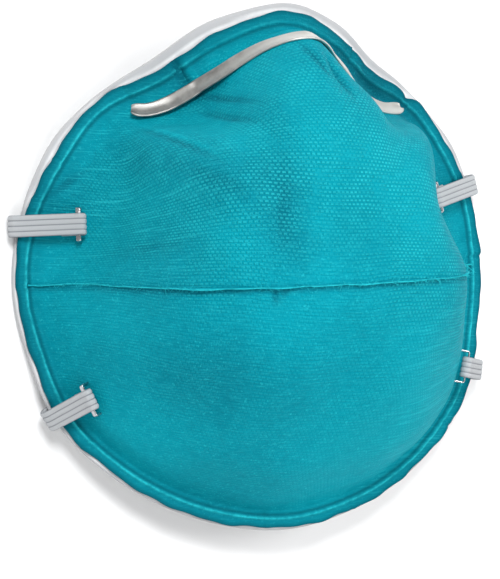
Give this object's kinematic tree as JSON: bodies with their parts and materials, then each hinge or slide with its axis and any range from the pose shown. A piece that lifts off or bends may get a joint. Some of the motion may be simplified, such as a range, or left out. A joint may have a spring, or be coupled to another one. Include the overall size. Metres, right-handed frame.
{
  "type": "surgical face mask",
  "caption": "Moulded cup face mask with a soft raised seam, a bendable nose clip, a white inner shell and elastic straps stapled at the rim.",
  "frame": {"origin": "on the surface the mask lies on, under the middle of its bounding box", "axes": "+Z out of the front of the cup, +Y towards the nose end, +X to the viewer's right when facing the front of the cup"},
  "size_m": [0.1394, 0.138, 0.058],
  "materials": {
    "cover": "matt embossed nonwoven cloth",
    "liner": "soft white nonwoven cloth",
    "clip": "satin soft strip",
    "elastic": "ribbed white elastic",
    "staple": "bright flat wire"
  },
  "bodies": {
    "root": {"cover_shell": "cover", "inner_shell": "liner", "nose_clip": "clip", "upper_strap": "elastic", "lower_strap": "elastic", "staple_upper_right": "staple", "staple_upper_left": "staple", "staple_lower_right": "staple", "staple_lower_left": "staple"}
  },
  "joints": []
}
